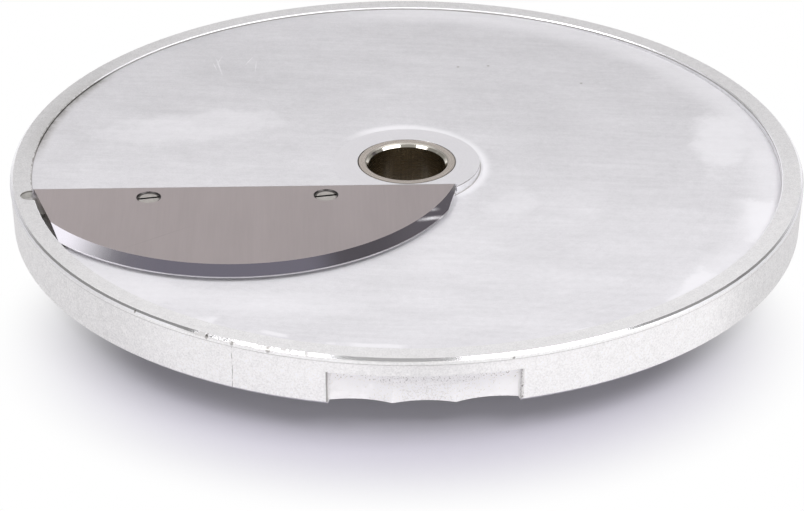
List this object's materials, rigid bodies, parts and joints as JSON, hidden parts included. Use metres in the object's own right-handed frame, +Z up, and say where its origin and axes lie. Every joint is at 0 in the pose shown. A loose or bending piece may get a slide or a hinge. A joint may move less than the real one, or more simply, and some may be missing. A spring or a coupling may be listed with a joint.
{
  "type": "slicing disc",
  "caption": "Round cast aluminium slicing disc with a ramped plate, a screwed-on sickle blade over a throat window, a steel hub bush and a scalloped finger recess in the rim.",
  "frame": {"origin": "on the bush's axis at its foot, which the disc stands on", "axes": "+Z up along the bush's bore, +X along the blade's straight back edge towards its tip, -Y towards the finger recess in the rim"},
  "size_m": [0.205, 0.205, 0.0215],
  "materials": {
    "cast_aluminium": "cast and turned, matt",
    "bush_steel": "turned",
    "blade_steel": "brushed, with a ground bevel",
    "screw_steel": "bright"
  },
  "bodies": {
    "root": {"disc_body": "cast_aluminium", "hub_bush": "bush_steel", "slicing_blade": "blade_steel", "blade_screws": "screw_steel"}
  },
  "joints": []
}
